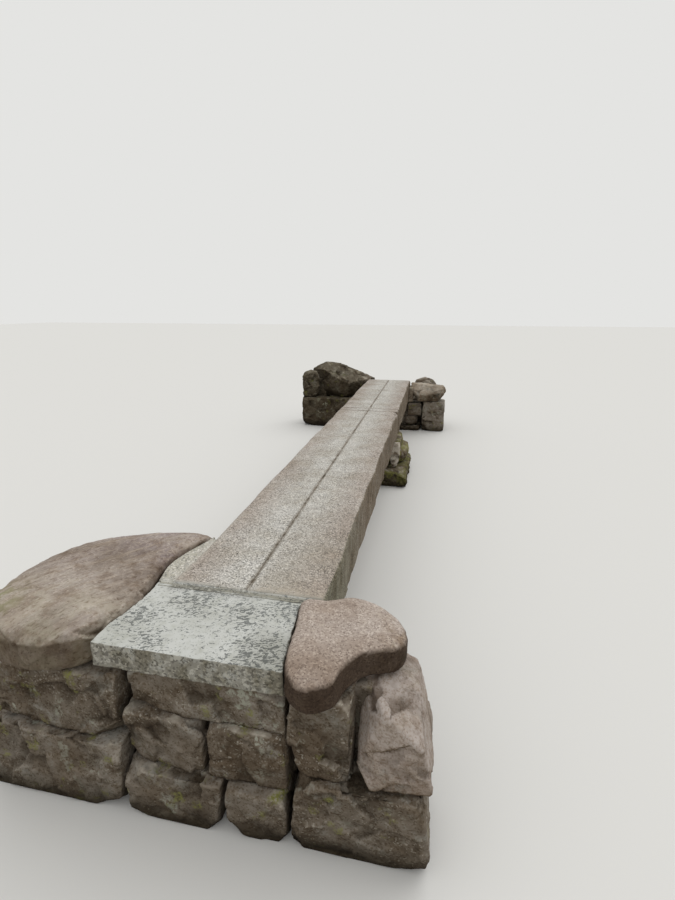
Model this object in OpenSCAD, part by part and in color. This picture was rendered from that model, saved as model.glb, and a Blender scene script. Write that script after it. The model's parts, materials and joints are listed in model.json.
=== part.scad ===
// Stone slab garden bridge.
// Two rows of rough-dressed granite slabs cross a pond in two spans. They rest on a pier of natural
// boulders and on stone footings at both banks, with guardian stones at the corners of the deck.
// X runs across the deck, Y from the near bank to the far bank and Z up, in millimetres.
// The origin is under the middle of the pier, at the level where its stones meet the water.

/* [Deck] */
// Width of the deck over both rows of slabs
deck_w = 910; // [760:10:1100]
// Height of the walking surface above the origin
deck_top = 1000; // [830:10:1250]
// Thickness of the granite slabs
slab_t = 380; // [280:10:460]
// Length of the two near slabs
near_slab_l = 4750; // [3600:50:6000]
// Length of the two far slabs
far_slab_l = 2960; // [2400:50:4000]
// Length of the closer stones between the spans
closer_l = 180; // [120:10:320]
// Joint between the two rows
row_joint = 12; // [4:1:25]
// Joint between slabs that meet end to end
cross_joint = 6; // [3:1:15]
// Wear of the outer top edges
arris_wear = 26; // [8:1:45]
// Wear of the edges at the joints
joint_wear = 6; // [2:1:8]
// Depth of the split hollows in the outer sides
side_hollow = 14; // [4:1:25]

/* [Pier] */
// How far the pier's base stands out beyond each side of the deck
pier_base_out = 190; // [140:5:320]
// Length of the pier's base, along the deck
pier_base_l = 1140; // [1000:10:1500]
// Height of the base stone
pier_base_h = 240; // [160:10:300]
// Thickness of the cap stone
pier_cap_h = 150; // [100:10:180]
// Length of the cap stone, along the deck
pier_cap_l = 660; // [560:10:900]
// Thickness of the pale wedge stone
wedge_t = 105; // [70:5:150]

/* [Banks] */
// Length of slab that bears on each bank
bearing_l = 280; // [200:10:400]
// Height of the bearing course
bearing_h = 300; // [180:10:360]
// How far the squared corner blocks stop below the slabs
block_step = 45; // [0:5:80]
// Height of the footing stones
footing_h = 90; // [60:5:120]
// Length of the bearing stones, back into the bank
bearing_stone_l = 420; // [360:10:520]
// How far the footing stones stand out before the bearing stones
footing_out = 60; // [20:5:90]
// Reach of the squared corner blocks beyond the deck
block_reach = 295; // [200:5:380]
// How far each course of the near bank stands out beyond the course above
bank_batter = 40; // [0:5:80]
// Gap between neighbouring stones of a course
stone_gap = 12; // [5:1:25]

/* [Near end] */
// Depth of the threshold slab
threshold_l = 525; // [400:5:700]
// Thickness of the threshold slab
threshold_t = 130; // [90:5:180]
// Step down from the deck to the threshold
threshold_drop = 10; // [0:1:50]
// How far the threshold stands out over the course that carries it
threshold_overhang = 20; // [0:5:40]
// Length of the left guardian boulder
left_boulder_l = 1240; // [1000:10:1500]
// Width of the left guardian boulder
left_boulder_w = 880; // [700:10:1060]
// Height of the left guardian boulder above the deck
left_boulder_rise = 75; // [20:5:150]
// Thickness of the left guardian boulder
left_boulder_t = 270; // [200:10:380]
// Size of the heart-shaped guardian stone
heart_size = 690; // [560:10:840]
// Thickness of the heart-shaped guardian stone
heart_t = 160; // [120:5:220]
// Height of the heart-shaped stone above the deck
heart_rise = 45; // [10:5:100]
// How far the mortar fillet beside the deck ends before the tip of the left boulder
fillet_short = 40; // [0:5:200]
// Width of the mortar fillet at its widest
fillet_w = 130; // [80:10:160]
// Mortar joint round the guardian stones
mortar_gap = 3; // [1:1:10]

/* [Far end] */
// Height of the left guardian rock above the deck
far_rock_rise = 345; // [250:5:500]
// Length of the left guardian rock, across the deck
far_rock_w = 1410; // [1150:10:1700]
// Depth of the left guardian rock, along the deck
far_rock_l = 660; // [500:10:800]
// Width of the side rock beyond it
side_rock_w = 410; // [300:10:500]
// Width of the pale flat stone on the right
flat_stone_w = 730; // [500:10:900]

/* [Hidden] */

// Levels that the pieces share, from the water up
under = deck_top - slab_t;
block_low = under - bearing_h;
near_course = under / 2;
threshold_top = deck_top - threshold_drop;
threshold_low = threshold_top - threshold_t;
left_boulder_top = deck_top + left_boulder_rise;
left_boulder_low = left_boulder_top - left_boulder_t;
left_course_share = 0.53;
left_course = left_course_share * left_boulder_low;
heart_top = deck_top + heart_rise;
heart_low = heart_top - heart_t;
right_course = heart_low / 2;

// Places along the deck
near_span_y = -closer_l / 2 - cross_joint;
far_span_y = closer_l / 2 + cross_joint;
near_end = near_span_y - near_slab_l;
far_end = far_span_y + far_slab_l;
near_face = near_end + bearing_l;
far_face = far_end - bearing_l;
near_back = near_face - bearing_stone_l - stone_gap;
threshold_y = near_end - cross_joint - threshold_l;

// Places across the deck
edge_x = deck_w / 2;
pier_base_x = edge_x + pier_base_out;
slab_w = (deck_w - row_joint) / 2;
slab_overhang = 25;
side_x = edge_x - slab_overhang;
block_x = side_x + block_reach;
left_bank_x = -edge_x - stone_gap;
heart_bearing = 55;
right_bank_x = edge_x - heart_bearing;

// Colours: grey granite, cement, pinkish guardian stones and the browner stones of the banks
granite = [0.66, 0.64, 0.60];
pale_cement = [0.75, 0.76, 0.73];
pink_granite = [0.66, 0.59, 0.54];
brown_stone = [0.50, 0.46, 0.42];
dark_stone = [0.36, 0.34, 0.31];
pale_stone = [0.62, 0.60, 0.54];

function total(v) = v * [for (x = v) 1];
function each_way(v, w) = [v.x * w.x, v.y * w.y, v.z * w.z];
function strip(a, b, n) = [for (i = [0:n - 1]) each [
    [a + i, b + i, b + (i + 1) % n],
    [a + i, b + (i + 1) % n, a + (i + 1) % n]]];

// Faces of a closed skin: a first point, rings of n points each, and a last point
function skin_faces(rings, n) = concat(
    [for (i = [0:n - 1]) [0, 1 + i, 1 + (i + 1) % n]],
    [for (k = [0:rings - 2]) each strip(1 + k * n, 1 + (k + 1) * n, n)],
    [for (i = [0:n - 1]) [1 + rings * n, 1 + (rings - 1) * n + (i + 1) % n, 1 + (rings - 1) * n + i]]);

// Low swells of a natural surface: for each wave its height and how fast it turns along X, Y and Z
waves = [[0.5, [190, 140, 0]], [0.3, [0, 310, -230]], [0.2, [400, 0, 480]]];
function swell(q, seed) = let (start = rands(0, 360, len(waves), seed))
    total([for (i = [0:len(waves) - 1]) waves[i][0] * sin(waves[i][1] * q + start[i])]);
function swollen(share, q, seed) = 1 - share * (1 - swell(q, seed));

// Keeps what lies between two levels, so that a bed or a top is one flat face
module between_levels(low_z, high_z, extent) {
    intersection() {
        children();
        translate([-extent, -extent, low_z]) cube([2 * extent, 2 * extent, high_z - low_z]);
    }
}

// The least that a broken-off flake leans to each of a stone's three sides, so none lies square to an edge
least_lean = 0.25;

// A stone split on all sides that fills the box from low to high, with a flat bed and a flat top.
// Its sides lean a little, and the seed chooses which flakes are off its corners and edges.
module split_stone(low, high, seed, flakes = 11, side_lean = 0.17, least = 0.68, most = 0.9) {
    middle = (low + high) / 2;
    half = (high - low) / 2;
    sides = 4;
    r = rands(-1, 1, 2 * sides + 4 * flakes, seed);
    leaning_sides = [for (i = [0:sides - 1]) let (
        out = [cos(90 * i), sin(90 * i), 0],
        along = [out.y, out.x, 0])
        [out + side_lean * (r[2 * i] * along + r[2 * i + 1] * [0, 0, 1]), 1]];
    broken_off = [for (i = [0:flakes - 1]) let (
        k = 2 * sides + 4 * i,
        away = [for (part = [r[k], r[k + 1], r[k + 2]]) sign(part) * (least_lean + abs(part))],
        share = least + (most - least) * abs(r[k + 3]))
        [away, share * total([for (part = away) abs(part)])]];
    intersection() {
        translate(low) cube(high - low);
        intersection_for(plane = concat(leaning_sides, broken_off))
            inside_plane(plane[0], plane[1], middle, half);
    }
}

// All that lies on the inner side of a plane of a box with the given middle and half sizes
module inside_plane(away, distance, middle, half) {
    n = [away.x / half.x, away.y / half.y, away.z / half.z];
    size = 4 * max(half);
    translate(middle)
        rotate([0, -atan2(n.z, norm([n.x, n.y])), atan2(n.y, n.x)])
        translate([distance / norm(n) - size, -size / 2, -size / 2])
        cube(size);
}

// The share of a worn stone's height that its flat bed or top has lost, how far its cut corners lean
// and differ, and how deep its surface swells
bedded_share = 0.16;
corner_lean = 0.5;
corner_spread = 0.12;
boulder_swell = 0.03;
outline_swell = 0.02;

// A water-worn boulder that fills the box from low to high. Its sides and its cut corners are rounded
// into each other, and the bed and the top are flat where it lies on or carries another stone.
module boulder(low, high, seed, flat_top = true, roundness = 5, corner = 1.3, rows = 9, cols = 16) {
    hidden = bedded_share * (high.z - low.z);
    full_low = low - [0, 0, hidden];
    full_high = high + [0, 0, flat_top ? hidden : 0];
    middle = (full_low + full_high) / 2;
    half = (full_high - full_low) / 2;
    sides = [for (a = [[1, 0, 0], [0, 1, 0], [0, 0, 1]], s = [-1, 1]) [a * s, 1]];
    signs = [for (x = [-1, 1], y = [-1, 1], z = [-1, 1]) [x, y, z]];
    r = rands(-1, 1, 4 * len(signs), seed);
    corners = [for (i = [0:len(signs) - 1]) let (
        lean = signs[i] + corner_lean * [r[4 * i], r[4 * i + 1], r[4 * i + 2]])
        [lean / norm(lean), corner * (1 + corner_spread * r[4 * i + 3])]];
    points = concat([middle - [0, 0, half.z]],
        [for (k = [1:rows - 1], i = [0:cols - 1]) let (
            up = -90 + 180 * k / rows,
            turn = 360 * (i + 0.5) / cols,
            q = [cos(up) * cos(turn), cos(up) * sin(turn), sin(up)])
            middle + reach(q, concat(sides, corners), roundness) * swollen(boulder_swell, q, seed)
                * each_way(q, half)],
        [middle + [0, 0, half.z]]);
    between_levels(low.z, flat_top ? high.z : full_high.z + 1, 2 * max(max(high), -min(low)))
        polyhedron(points = points, faces = skin_faces(rows - 1, cols), convexity = 4);
}

// How far a worn solid reaches in direction q: its flat sides, rounded into each other
function reach(q, sides, roundness) =
    pow(total([for (s = sides) pow(max(0, q * s[0]) / s[1], roundness)]), -1 / roundness);

// An angular rock, hulled round its own corners. Each corner is a share of the box from low to high.
module cornered_rock(low, high, corners, worn = 18) {
    inner = high - low - 2 * worn * [1, 1, 1];
    hull()
        for (c = corners)
            translate(low + worn * [1, 1, 1] + each_way(c, inner))
                cylinder(r = worn, h = 2 * worn, center = true, $fn = 6);
}

// A point of the smooth closed curve through the corners of an outline, at t corners along it
function on_outline(corners, t) = let (
    n = len(corners),
    i = floor(t),
    u = t - i,
    a = corners[(i + n - 1) % n],
    b = corners[i % n],
    c = corners[(i + 1) % n],
    d = corners[(i + 2) % n])
    0.5 * (2 * b + (c - a) * u + (2 * a - 5 * b + 4 * c - d) * u * u + (3 * b - a - 3 * c + d) * u * u * u);
function outline(corners, count) = [for (i = [0:count - 1]) on_outline(corners, i * len(corners) / count)];

// Sides of the skin of an outlined stone
outline_cols = 40;

// A flat guardian stone with its own plan outline: a flat bed, full sides, a worn top edge and a crown.
// The top falls by tilt for each millimetre from the stone's centre.
module outlined_stone(centre, corners, low_z, high_z, seed, crown, tilt, fullness, rows = 9) {
    cols = outline_cols;
    hidden = bedded_share * (high_z - low_z);
    middle = (low_z - hidden + high_z) / 2;
    half = (high_z - low_z + hidden) / 2;
    ring = outline(corners, cols);
    points = concat([[centre.x, centre.y, middle - half]],
        [for (k = [1:rows - 1], i = [0:cols - 1]) let (
            up = -90 + 180 * k / rows,
            out = pow(cos(up), fullness),
            rise = sign(up) * pow(abs(sin(up)), fullness) * (1 - crown * out * out),
            q = [cos(360 * i / cols), sin(360 * i / cols), sin(up)],
            place = centre + ring[i] * out * swollen(outline_swell, q, seed))
            [place.x, place.y, middle + half * rise - (up > 0 ? ring[i] * tilt * out : 0)]],
        [[centre.x, centre.y, high_z]]);
    between_levels(low_z, high_z + hidden, 2 * norm(centre))
        polyhedron(points = points, faces = skin_faces(rows - 1, cols), convexity = 6);
}

// The space that an outlined stone and the mortar joint round it take up, at every level
module outline_space(centre, corners) {
    translate([centre.x, centre.y, 0])
        linear_extrude(2 * deck_top)
        polygon([for (p = outline(corners, outline_cols)) p * (1 + mortar_gap / norm(p))]);
}

// Where the middle of a worn corner lies, as a share of its wear, and the least share of the wear that
// the top and the low outer corners have
arris_middle = 0.3;
least_worn = 0.55;
least_low_worn = 0.3;

// Section of a slab about its middle, going round from the low inner corner. The outer corners have
// their own radius of wear, and the outer side lies back by side where it was split.
function slab_ring(w, t, worn, low_worn, side) = [
    [-w / 2, -t / 2 + joint_wear],
    [-w / 2, 0],
    [-w / 2, t / 2 - joint_wear],
    [-w / 2 + joint_wear, t / 2],
    [0, t / 2],
    [w / 2 - worn, t / 2],
    [w / 2 - arris_middle * worn - side, t / 2 - arris_middle * worn],
    [w / 2 - side, t / 2 - worn],
    [w / 2 - side, 0],
    [w / 2 - side, -t / 2 + low_worn],
    [w / 2 - arris_middle * low_worn - side, -t / 2 + arris_middle * low_worn],
    [w / 2 - low_worn, -t / 2],
    [0, -t / 2],
    [-w / 2 + joint_wear, -t / 2]];

// A rough-dressed slab from y_low to y_high, with its straight side at X = 0 and its worn side out
module slab(y_low, y_high, seed, step = 240) {
    stations = max(3, ceil((y_high - y_low) / step));
    last = stations + 2;
    r = rands(0, 1, 3 * (stations + 1), seed);
    middle_z = under + slab_t / 2;
    points = concat([[slab_w / 2, y_low, middle_z]],
        [for (k = [0:last]) let (
            inset = k == 0 || k == last ? joint_wear : 0,
            y = k == 0 ? y_low
                : k == last ? y_high
                : k == 1 ? y_low + joint_wear
                : k == last - 1 ? y_high - joint_wear
                : y_low + (y_high - y_low) * (k - 1) / stations,
            i = min(max(k - 1, 0), stations),
            worn = arris_wear * (least_worn + r[3 * i]) + inset,
            low_worn = arris_wear * (least_low_worn + r[3 * i + 2]),
            side = side_hollow * r[3 * i + 1] + inset)
            each [for (p = slab_ring(slab_w, slab_t, worn, low_worn, side))
                [slab_w / 2 + max(p.x, -slab_w / 2 + inset), y, middle_z + min(p.y, slab_t / 2 - inset)]]],
        [[slab_w / 2, y_high, middle_z]]);
    polyhedron(points = points, faces = skin_faces(last + 1, len(slab_ring(1, 1, 1, 1, 1))), convexity = 4);
}

// Right and left rows of the deck, from a slab drawn on the right
module right_row() translate([row_joint / 2, 0, 0]) children();
module left_row() mirror([1, 0, 0]) right_row() children();

module near_left_slab() color(granite) left_row() slab(near_end, near_span_y, seed = 11);

// Flakes are broken off the outer top edge of this slab: how far each lies before the slab's far end,
// its length and its depth, and how the broken faces lie
edge_flakes = [[110, 260, 42], [960, 190, 24], [1640, 120, 20]];
flake_turn = [7, 42, 9];
module near_right_slab() color(granite) difference() {
    right_row() slab(near_end, near_span_y, seed = 12);
    for (flake = edge_flakes)
        translate([edge_x, near_span_y - flake[0], deck_top])
            rotate(flake_turn)
            cube([2 * flake[2], flake[1], 2 * flake[2]], center = true);
}

module left_closer_stone() color(granite) left_row() slab(-closer_l / 2, closer_l / 2, seed = 13);
module right_closer_stone() color(granite) right_row() slab(-closer_l / 2, closer_l / 2, seed = 14);
module far_left_slab() color(granite) left_row() slab(far_span_y, far_end, seed = 15);
module far_right_slab() color(granite) right_row() slab(far_span_y, far_end, seed = 16);

// The pier is wider than the deck. Each stone's span is given across, along and up.
module pier_stone(x, y, z, seed, flakes = 11, side_lean = 0.17, least = 0.72, most = 0.9)
    split_stone([x[0], y[0], z[0]], [x[1], y[1], z[1]], seed, flakes, side_lean, least, most);

// How far the cap stands out at the left and right of the deck
cap_low = under - pier_cap_h;
cap_out = [60, 70];
module pier_cap_stone() color(dark_stone)
    pier_stone([-edge_x - cap_out[0], edge_x + cap_out[1]], [-pier_cap_l / 2, pier_cap_l / 2],
        [cap_low, under], seed = 21, side_lean = 0.12, least = 0.78);

// The left stone lies in from the base's side, and both ends of it show beyond the cap
left_stone_in = 60;
left_stone_out = [50, 40];
module pier_left_stone() color(dark_stone)
    pier_stone([left_stone_in - pier_base_x, -stone_gap],
        [-pier_cap_l / 2 - left_stone_out[0], pier_cap_l / 2 + left_stone_out[1]],
        [pier_base_h, cap_low], seed = 22);

// The right one is a mossy boulder that bulges out at the far side of the cap
right_stone_out = 100;
module pier_right_stone() color(dark_stone)
    boulder([0, stone_gap - pier_cap_l / 2, pier_base_h],
        [pier_base_x, pier_cap_l / 2 + right_stone_out, cap_low], seed = 23);

// The base lies a little towards the near bank
base_shift = 40;
module pier_base_stone() color(dark_stone)
    pier_stone([-pier_base_x, pier_base_x],
        [-pier_base_l / 2 - base_shift, pier_base_l / 2 - base_shift],
        [0, pier_base_h], seed = 25, flakes = 14, side_lean = 0.12, least = 0.8, most = 0.94);

// A pale split stone wedged under the near right slab, at the near face of the pier
wedge_span = [-85, 65];
module pier_wedge_stone() color(pale_stone)
    cornered_rock([edge_x + wedge_span[0], -pier_cap_l / 2 - stone_gap - wedge_t, pier_base_h],
        [edge_x + wedge_span[1], -pier_cap_l / 2 - stone_gap, under],
        [[0, 0, 1], [0.8, 0.1, 1], [0, 1, 1], [1, 1, 1], [1, 0.3, 0.72], [0.05, 0, 0.5],
            [0.75, 0.2, 0], [0.75, 1, 0], [0.3, 1, 0], [0.35, 0.3, 0]], worn = 9);

// Bearing and footing courses, drawn with the bank on the far side of Y = 0 and the water before it.
// Each stone has its span across and up, and lies in from the face and from the back of the course.
module bank_stone(x, z, inset, seed, flakes = 11, side_lean = 0.17, least = 0.68, most = 0.9)
    split_stone([x[0], inset[0], z[0]], [x[1], bearing_stone_l - inset[1], z[1]],
        seed, flakes, side_lean, least, most);

// The round stones reach in under the bearing stone, and end short of the squared blocks' sides
round_in = 90;
round_short = 60;
round_x = [side_x - round_in, block_x - round_short];
course = [footing_h, block_low];

// How far each kind of stone lies in from the face and the back of its course, and how far the footing
// and the side blocks end short of the squared blocks' sides
block_inset = [0, 60];
round_inset = [20, 50];
middle_inset = [30, 20];
side_inset = [15, 30];
footing_inset = [-footing_out, 0];
footing_short = [20, 10];
side_short = 20;
module bearing_stone(seed)
    bank_stone([stone_gap - side_x, side_x - stone_gap], [block_low, under], [0, 0], seed,
        side_lean = 0.08, least = 0.8);
module squared_block(seed)
    bank_stone([side_x, block_x], [block_low, under - block_step], block_inset, seed,
        flakes = 7, side_lean = 0.07, least = 0.86, most = 0.96);
module round_stone(seed)
    boulder([round_x[0], round_inset[0], course[0]],
        [round_x[1], bearing_stone_l - round_inset[1], course[1]], seed, roundness = 4.5, corner = 1.25);
module middle_stone(seed)
    bank_stone([stone_gap - round_x[0], round_x[0] - stone_gap], course, middle_inset, seed);
module side_block(seed)
    bank_stone([stone_gap / 2, block_x - side_short], course, side_inset, seed);
module footing_stone(seed)
    bank_stone([footing_short[0] - block_x, block_x - footing_short[1]], [0, footing_h], footing_inset,
        seed, side_lean = 0.05, least = 0.84, most = 0.97);

module at_far_bank() translate([0, far_face, 0]) children();
module at_near_bank() translate([0, near_face, 0]) rotate([0, 0, 180]) children();

module far_bearing_stone() color(dark_stone) at_far_bank() bearing_stone(seed = 31);
module far_right_squared_block() color(brown_stone) at_far_bank() squared_block(seed = 32);
module far_left_squared_block() color(brown_stone) at_far_bank() mirror([1, 0, 0]) squared_block(seed = 33);
module far_right_round_stone() color(dark_stone) at_far_bank() round_stone(seed = 34);
module far_left_round_stone() color(dark_stone) at_far_bank() mirror([1, 0, 0]) round_stone(seed = 35);
module far_middle_stone() color(dark_stone) at_far_bank() middle_stone(seed = 36);
module far_footing_stone() color(dark_stone) at_far_bank() footing_stone(seed = 37);

module near_bearing_stone() color(dark_stone) at_near_bank() bearing_stone(seed = 41);
module near_right_block() color(brown_stone) at_near_bank() mirror([1, 0, 0]) side_block(seed = 42);
module near_left_block() color(brown_stone) at_near_bank() side_block(seed = 43);
module near_footing_stone() color(dark_stone) at_near_bank() footing_stone(seed = 44);

// The straight-edged slab on which one steps up to the deck, cast up against the guardian stones. It
// reaches this far beyond the deck on the left.
threshold_reach = 110;
module threshold_slab() color(pale_cement) difference() {
    translate([-edge_x - threshold_reach, threshold_y, threshold_low])
        cube([edge_x + threshold_reach + right_bank_x, threshold_l, threshold_t]);
    outline_space(left_boulder_centre, left_boulder_plan);
    outline_space(heart_centre, heart_plan);
}

// A stone that stands in a built-up bank, squared enough to lie well on the ground and on its neighbours
module walling_stone(low, high, seed)
    split_stone(low, high, seed, flakes = 13, side_lean = 0.1, least = 0.82, most = 0.95);

// A stone of the near bank's front, in the course that lies this many steps below the threshold
module front_stone(x_low, x_high, z_low, z_high, steps, y_high, seed)
    walling_stone([x_low, threshold_y + threshold_overhang - steps * bank_batter, z_low],
        [x_high, y_high, z_high], seed);

// Upright joints of the front courses under the threshold, which don't stand over each other
middle_joint = -30;
footing_joint = 65;
module threshold_bed_stone() color(brown_stone)
    front_stone(-edge_x, right_bank_x - stone_gap, under, threshold_low, 0, near_end - cross_joint,
        seed = 51);
module threshold_middle_left_stone() color(brown_stone)
    front_stone(-edge_x, middle_joint, near_course, under, 1, near_back, seed = 52);
module threshold_middle_right_stone() color(brown_stone)
    front_stone(middle_joint + stone_gap, right_bank_x - stone_gap, near_course, under, 1, near_back,
        seed = 53);
module threshold_footing_left_stone() color(brown_stone)
    front_stone(-edge_x, footing_joint, 0, near_course, 2, near_back, seed = 54);
module threshold_footing_stone() color(brown_stone)
    front_stone(footing_joint + stone_gap, right_bank_x - stone_gap, 0, near_course, 2, near_back,
        seed = 55);

// Plan of the left boulder about its centre, from the tip beside the deck, as shares of its width and
// its length. The bank below it ends a little in from its left side.
left_boulder_gap = 15;
left_boulder_shift = 20;
left_boulder_centre = [-edge_x - left_boulder_gap - left_boulder_w / 2, near_end - left_boulder_shift];
left_boulder_plan = [for (p = [[0.5, 0.5], [0.14, 0.46], [-0.15, 0.37], [-0.4, 0.2], [-0.5, -0.04],
    [-0.44, -0.28], [-0.22, -0.45], [0.08, -0.49], [0.28, -0.43], [0.38, -0.31], [0.43, -0.14],
    [0.43, -0.01], [0.39, 0.16], [0.43, 0.3]]) [p.x * left_boulder_w, p.y * left_boulder_l]];
left_bank_in = 70;
left_bank_low_x = left_boulder_centre.x - left_boulder_w / 2 + left_bank_in;

module left_guardian_boulder() color(pink_granite)
    outlined_stone(left_boulder_centre, left_boulder_plan, left_boulder_low, left_boulder_top,
        seed = 61, crown = 0.14, tilt = [0.02, 0.01], fullness = 0.42);

// Mortar in the wedge between the left boulder and the side of the deck
fillet_end = left_boulder_centre.y + left_boulder_l / 2 - fillet_short;
module left_mortar_fillet() color(pale_cement) difference() {
    translate([-edge_x - fillet_w, near_end, left_boulder_low])
        cube([fillet_w, fillet_end - near_end, deck_top - joint_wear - left_boulder_low]);
    outline_space(left_boulder_centre, left_boulder_plan);
}

// The bank under the left boulder, which goes on a little way along the water
left_bank_out = 180;
module left_bank_upper_stone() color(brown_stone)
    front_stone(left_bank_low_x + bank_batter, left_bank_x, left_course, left_boulder_low, 1, near_back,
        seed = 62);
module left_bank_front_stone() color(brown_stone)
    front_stone(left_bank_low_x, left_bank_x, 0, left_course, 2, near_back, seed = 63);
module left_bank_rear_upper_stone() color(brown_stone)
    walling_stone([left_bank_low_x + bank_batter, near_back + stone_gap, block_low],
        [left_bank_x, near_face + footing_out, left_boulder_low], seed = 64);
module left_bank_rear_stone() color(brown_stone)
    walling_stone([left_bank_low_x, near_back + stone_gap, 0],
        [footing_short[1] - block_x - stone_gap, near_face + left_bank_out, block_low], seed = 65);

// Plan of the heart-shaped stone about its centre, as shares of its size: the near left lobe, the notch,
// the right lobe, and the straighter back and left sides. Its centre lies off the deck's near right corner.
heart_place = [0.19, -0.4];
heart_centre = [edge_x, near_end] + heart_size * heart_place;
heart_plan = heart_size * [[-0.27, -0.42], [-0.12, -0.54], [0.04, -0.46], [0.09, -0.3], [0.2, -0.16],
    [0.4, -0.07], [0.46, 0.06], [0.38, 0.27], [0.2, 0.42], [0, 0.47], [-0.17, 0.38], [-0.36, 0.35],
    [-0.35, 0.1], [-0.32, -0.2]];

module heart_guardian_stone() color(pink_granite)
    outlined_stone(heart_centre, heart_plan, heart_low, heart_top,
        seed = 71, crown = 0.08, tilt = [0.02, 0.01], fullness = 0.3);

// A slanting stone beside the heart-shaped one, and the bank stones below both. It is placed in the
// same way as the corners of the heart.
right_edge_plan = heart_size * [[0.17, -0.42], [0.67, 0.3]];
right_edge_low = heart_centre + right_edge_plan[0];
right_edge_high = heart_centre + right_edge_plan[1];
module right_edge_stone() color(pink_granite)
    cornered_rock([right_edge_low.x, right_edge_low.y, right_course],
        [right_edge_high.x, right_edge_high.y, heart_low],
        [[0.1, 0.9, 1], [0, 0.5, 1], [0.35, 0.1, 0.88], [0.85, 0, 0.62], [0.75, 0.45, 0.86],
            [0.7, 0.95, 0.8], [0, 0.1, 0.2], [0.2, 0, 0], [1, 0, 0.1], [1, 0.9, 0], [0, 1, 0]]);
module right_bank_upper_stone() color(brown_stone)
    front_stone(right_bank_x, right_edge_low.x - stone_gap, right_course, heart_low, 1, near_back,
        seed = 73);
module right_bank_lower_stone() color(brown_stone)
    front_stone(right_bank_x, right_edge_high.x, 0, right_course, 2, near_back, seed = 74);

// The far left rock overhangs the bank, and its pale top slopes from the peak to a tip behind the deck.
// A smaller rock stands before its left end. Both lie on one long bank stone.
far_rock_tip = 145;
far_rock_out = 310;
far_rock_high_x = far_rock_tip - edge_x;
far_rock_low_x = far_rock_high_x - far_rock_w;
far_rock_y = [far_end - far_rock_out, far_end - far_rock_out + far_rock_l];
module far_left_guardian_rock() color(dark_stone)
    cornered_rock([far_rock_low_x, far_rock_y[0], under],
        [far_rock_high_x, far_rock_y[1], deck_top + far_rock_rise],
        [[0.22, 0.78, 1], [0.47, 0.76, 0.93], [0.75, 0.76, 0.7], [1, 0.78, 0.52], [0.02, 0.66, 0.78],
            [0.25, 0.32, 0.78], [0.43, 0.12, 0.58], [0.64, 0.08, 0.42], [0, 0.75, 0.4], [0.28, 0.33, 0.2],
            [0.62, 0.15, 0.1], [0.15, 0.6, 0], [0.55, 0.3, 0], [0.85, 0.8, 0], [0.7, 1, 0.1],
            [0.12, 1, 0.2]]);

side_rock_overlap = 255;
side_rock_out = 55;
side_rock_l = 305;
side_rock_rise = 200;
side_rock_high_x = far_rock_low_x + side_rock_overlap;
side_rock_low_y = far_face - side_rock_out;
module far_left_side_rock() color(dark_stone)
    boulder([side_rock_high_x - side_rock_w, side_rock_low_y, under],
        [side_rock_high_x, side_rock_low_y + side_rock_l, deck_top + side_rock_rise],
        seed = 82, flat_top = false);

// The bank stone ends a little in from the side rock's left side and from the far rock's back
far_bank_in = [40, 85];
module far_left_bank_stone() color(brown_stone)
    walling_stone([side_rock_high_x - side_rock_w + far_bank_in[0], side_rock_low_y, 0],
        [-block_x - stone_gap, far_rock_y[1] - far_bank_in[1], under], seed = 83);

// The pale flat stone beside the deck, the rock behind it and the two bank stones that carry them
right_rocks_gap = 20;
right_rocks_x = edge_x + right_rocks_gap;
right_rocks_y = far_face + 450;
flat_stone_out = 110;
flat_stone_drop = 25;
module far_right_flat_stone() color(pale_stone)
    cornered_rock([right_rocks_x, far_face - flat_stone_out, under],
        [right_rocks_x + flat_stone_w, right_rocks_y - right_rocks_gap, deck_top - flat_stone_drop],
        [[0, 0.6, 1], [0.14, 0.4, 0.97], [0.4, 0.3, 0.9], [0.95, 0.3, 0.86], [0.06, 0.12, 0.55],
            [0.22, 0, 0.35], [0.82, 0.05, 0.5], [1, 0.4, 0.6], [0.22, 0.05, 0.05], [0.8, 0.1, 0.2],
            [0.25, 0.9, 0], [0.85, 0.9, 0], [0.3, 0.2, 0], [0.75, 0.2, 0], [0.9, 0.95, 0.8],
            [0.1, 0.95, 0.9]]);
right_bank_out = 40;
module far_right_bank_stone() color(brown_stone)
    walling_stone([block_x + stone_gap, far_face - right_bank_out, 0],
        [edge_x + flat_stone_w, right_rocks_y - stone_gap, under], seed = 85);

// Size of the rock across, along and above the deck, and how far the stone under it stands out
grey_rock = [540, 410, 20];
back_stone_out = [40, 20];
module far_right_grey_rock() color(dark_stone)
    boulder([right_rocks_x, right_rocks_y, under],
        [right_rocks_x + grey_rock.x, right_rocks_y + grey_rock.y, deck_top + grey_rock.z],
        seed = 86, flat_top = false, corner = 1.2);
module far_right_back_stone() color(brown_stone)
    walling_stone([edge_x, right_rocks_y, 0],
        [right_rocks_x + grey_rock.x + back_stone_out[0],
            right_rocks_y + grey_rock.y + back_stone_out[1],
            under],
        seed = 87);

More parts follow.
